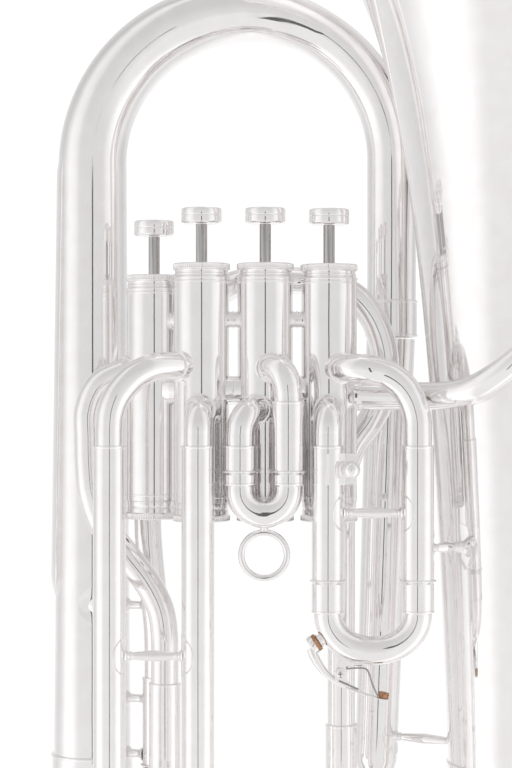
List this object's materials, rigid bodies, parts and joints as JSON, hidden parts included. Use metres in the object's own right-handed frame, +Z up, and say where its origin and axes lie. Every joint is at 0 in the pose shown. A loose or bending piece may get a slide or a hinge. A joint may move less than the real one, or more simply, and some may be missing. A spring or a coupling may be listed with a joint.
{
  "type": "euphonium",
  "caption": "Upright four-valve euphonium with top-action pistons, front tuning slides, a water key and a lyre holder.",
  "frame": {"origin": "lowest point of the bottom bow's outer surface, where the instrument rests on the player's lap", "axes": "+Z up along the valves and out of the bell, +Y from the front slides to the big bows behind the valves, +X from the fourth valve towards the bell"},
  "size_m": [0.4116, 0.3004, 0.6444],
  "materials": {
    "silver_plate": "silver plate over brass, mirror polished",
    "valve_steel": "plain grey, fine turned",
    "spring_steel": "bare spring wire",
    "cork": "natural cork"
  },
  "bodies": {
    "horn": {"bell": "silver_plate", "bell_brace_lower": "silver_plate", "bell_brace_upper": "silver_plate", "bottom_bow": "silver_plate", "first_branch": "silver_plate", "knuckle_1_2": "silver_plate", "knuckle_2_3": "silver_plate", "knuckle_3_4": "silver_plate", "leadpipe": "silver_plate", "lyre_holder": "silver_plate", "mouthpiece_receiver": "silver_plate", "outlet_tube": "silver_plate", "side_guard": "silver_plate", "slide_1_brace": "silver_plate", "slide_1_lower_tube": "silver_plate", "slide_1_upper_tube": "silver_plate", "slide_2_lower_tube": "silver_plate", "slide_2_upper_tube": "silver_plate", "slide_3_brace": "silver_plate", "slide_3_lower_tube": "silver_plate", "slide_3_upper_tube": "silver_plate", "slide_4_front_tube": "silver_plate", "slide_4_rear_tube": "silver_plate", "top_bow": "silver_plate", "top_bow_ferrule": "silver_plate", "valve_1_bottom_cap": "silver_plate", "valve_1_casing": "silver_plate", "valve_1_spring": "spring_steel", "valve_1_top_cap": "silver_plate", "valve_2_bottom_cap": "silver_plate", "valve_2_casing": "silver_plate", "valve_2_spring": "spring_steel", "valve_2_top_cap": "silver_plate", "valve_3_bottom_cap": "silver_plate", "valve_3_casing": "silver_plate", "valve_3_spring": "spring_steel", "valve_3_top_cap": "silver_plate", "valve_4_bottom_cap": "silver_plate", "valve_4_casing": "silver_plate", "valve_4_spring": "spring_steel", "valve_4_top_cap": "silver_plate"},
    "valve_1": {"valve_1_piston": "valve_steel", "valve_1_button": "silver_plate"},
    "valve_2": {"valve_2_piston": "valve_steel", "valve_2_button": "silver_plate"},
    "valve_3": {"valve_3_piston": "valve_steel", "valve_3_button": "silver_plate"},
    "valve_4": {"valve_4_piston": "valve_steel", "valve_4_button": "silver_plate"},
    "slide_1": {"slide_1_bow": "silver_plate", "water_key_saddle": "silver_plate", "water_key_screw": "silver_plate"},
    "slide_2": {"slide_2_bow": "silver_plate", "slide_2_pull_ring": "silver_plate"},
    "slide_3": {"slide_3_bow": "silver_plate"},
    "slide_4": {"slide_4_bow": "silver_plate"},
    "tuning_slide": {"main_tuning_slide": "silver_plate"},
    "water_key": {"water_key_lever": "silver_plate", "water_key_cork": "cork"},
    "lyre_screw": {"lyre_screw": "silver_plate"}
  },
  "joints": [
    {"name": "valve_1_press", "type": "slide", "parent": "horn", "child": "valve_1", "axis": [0, 0, -1], "range_m": [0, 0.0185], "stiffness_N_per_m": 70, "springref_m": -0.03, "deforming": ["valve_1_spring"]},
    {"name": "valve_2_press", "type": "slide", "parent": "horn", "child": "valve_2", "axis": [0, 0, -1], "range_m": [0, 0.0185], "stiffness_N_per_m": 70, "springref_m": -0.03, "deforming": ["valve_2_spring"]},
    {"name": "valve_3_press", "type": "slide", "parent": "horn", "child": "valve_3", "axis": [0, 0, -1], "range_m": [0, 0.0185], "stiffness_N_per_m": 70, "springref_m": -0.03, "deforming": ["valve_3_spring"]},
    {"name": "valve_4_press", "type": "slide", "parent": "horn", "child": "valve_4", "axis": [0, 0, -1], "range_m": [0, 0.0185], "stiffness_N_per_m": 70, "springref_m": -0.03, "deforming": ["valve_4_spring"]},
    {"name": "slide_1_pull", "type": "slide", "parent": "horn", "child": "slide_1", "axis": [0, 0, -1], "range_m": [0, 0.045]},
    {"name": "slide_2_pull", "type": "slide", "parent": "horn", "child": "slide_2", "axis": [0, 0, -1], "range_m": [0, 0.009]},
    {"name": "slide_3_pull", "type": "slide", "parent": "horn", "child": "slide_3", "axis": [0, 0, -1], "range_m": [0, 0.06]},
    {"name": "slide_4_pull", "type": "slide", "parent": "horn", "child": "slide_4", "axis": [0, 0, -1], "range_m": [0, 0.028]},
    {"name": "tuning_slide_pull", "type": "slide", "parent": "horn", "child": "tuning_slide", "axis": [0, 0, -1], "range_m": [0, 0.028]},
    {"name": "water_key_press", "type": "hinge", "parent": "slide_1", "child": "water_key", "pos_m": [0.0191, -0.0596, 0.22036], "axis": [0, -1, 0], "range_deg": [0, 18], "stiffness_Nm_per_rad": 0.04, "springref_deg": -28.65},
    {"name": "lyre_screw_turn", "type": "hinge", "parent": "horn", "child": "lyre_screw", "pos_m": [0.0247, -0.0692, 0.32766], "axis": [0, -1, 0], "continuous": true}
  ]
}
